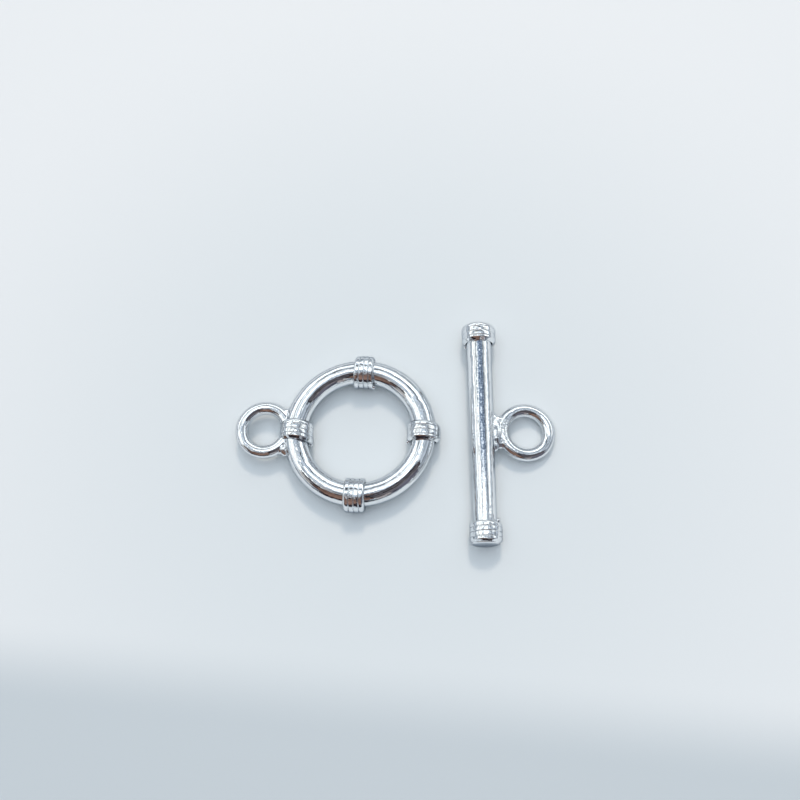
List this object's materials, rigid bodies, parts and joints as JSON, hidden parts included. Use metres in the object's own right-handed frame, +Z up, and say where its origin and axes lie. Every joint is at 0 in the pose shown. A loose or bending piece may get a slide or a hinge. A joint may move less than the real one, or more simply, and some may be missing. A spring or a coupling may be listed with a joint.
{
  "type": "toggle clasp",
  "caption": "Jewellery toggle clasp: a bar on a loop that passes through a ring on a loop and holds it shut, both with wound wire collars.",
  "frame": {"origin": "on the surface the clasp lies on, under the middle of the whole clasp", "axes": "+X from the ring half to the bar half, +Y along the bar towards its thicker end, +Z up from the surface"},
  "size_m": [0.0336, 0.0236, 0.0038],
  "materials": {
    "ring_metal": "bright silver plate, polished",
    "bar_metal": "bright silver plate, polished",
    "wound_wire": "bright silver plate, a little worn"
  },
  "bodies": {
    "root": {"toggle_ring": "ring_metal", "ring_coil_back": "wound_wire", "ring_coil_front": "wound_wire", "ring_coil_left": "wound_wire", "ring_coil_right": "wound_wire", "toggle_bar": "bar_metal", "bar_coil_back": "wound_wire", "bar_coil_front": "wound_wire"}
  },
  "joints": []
}
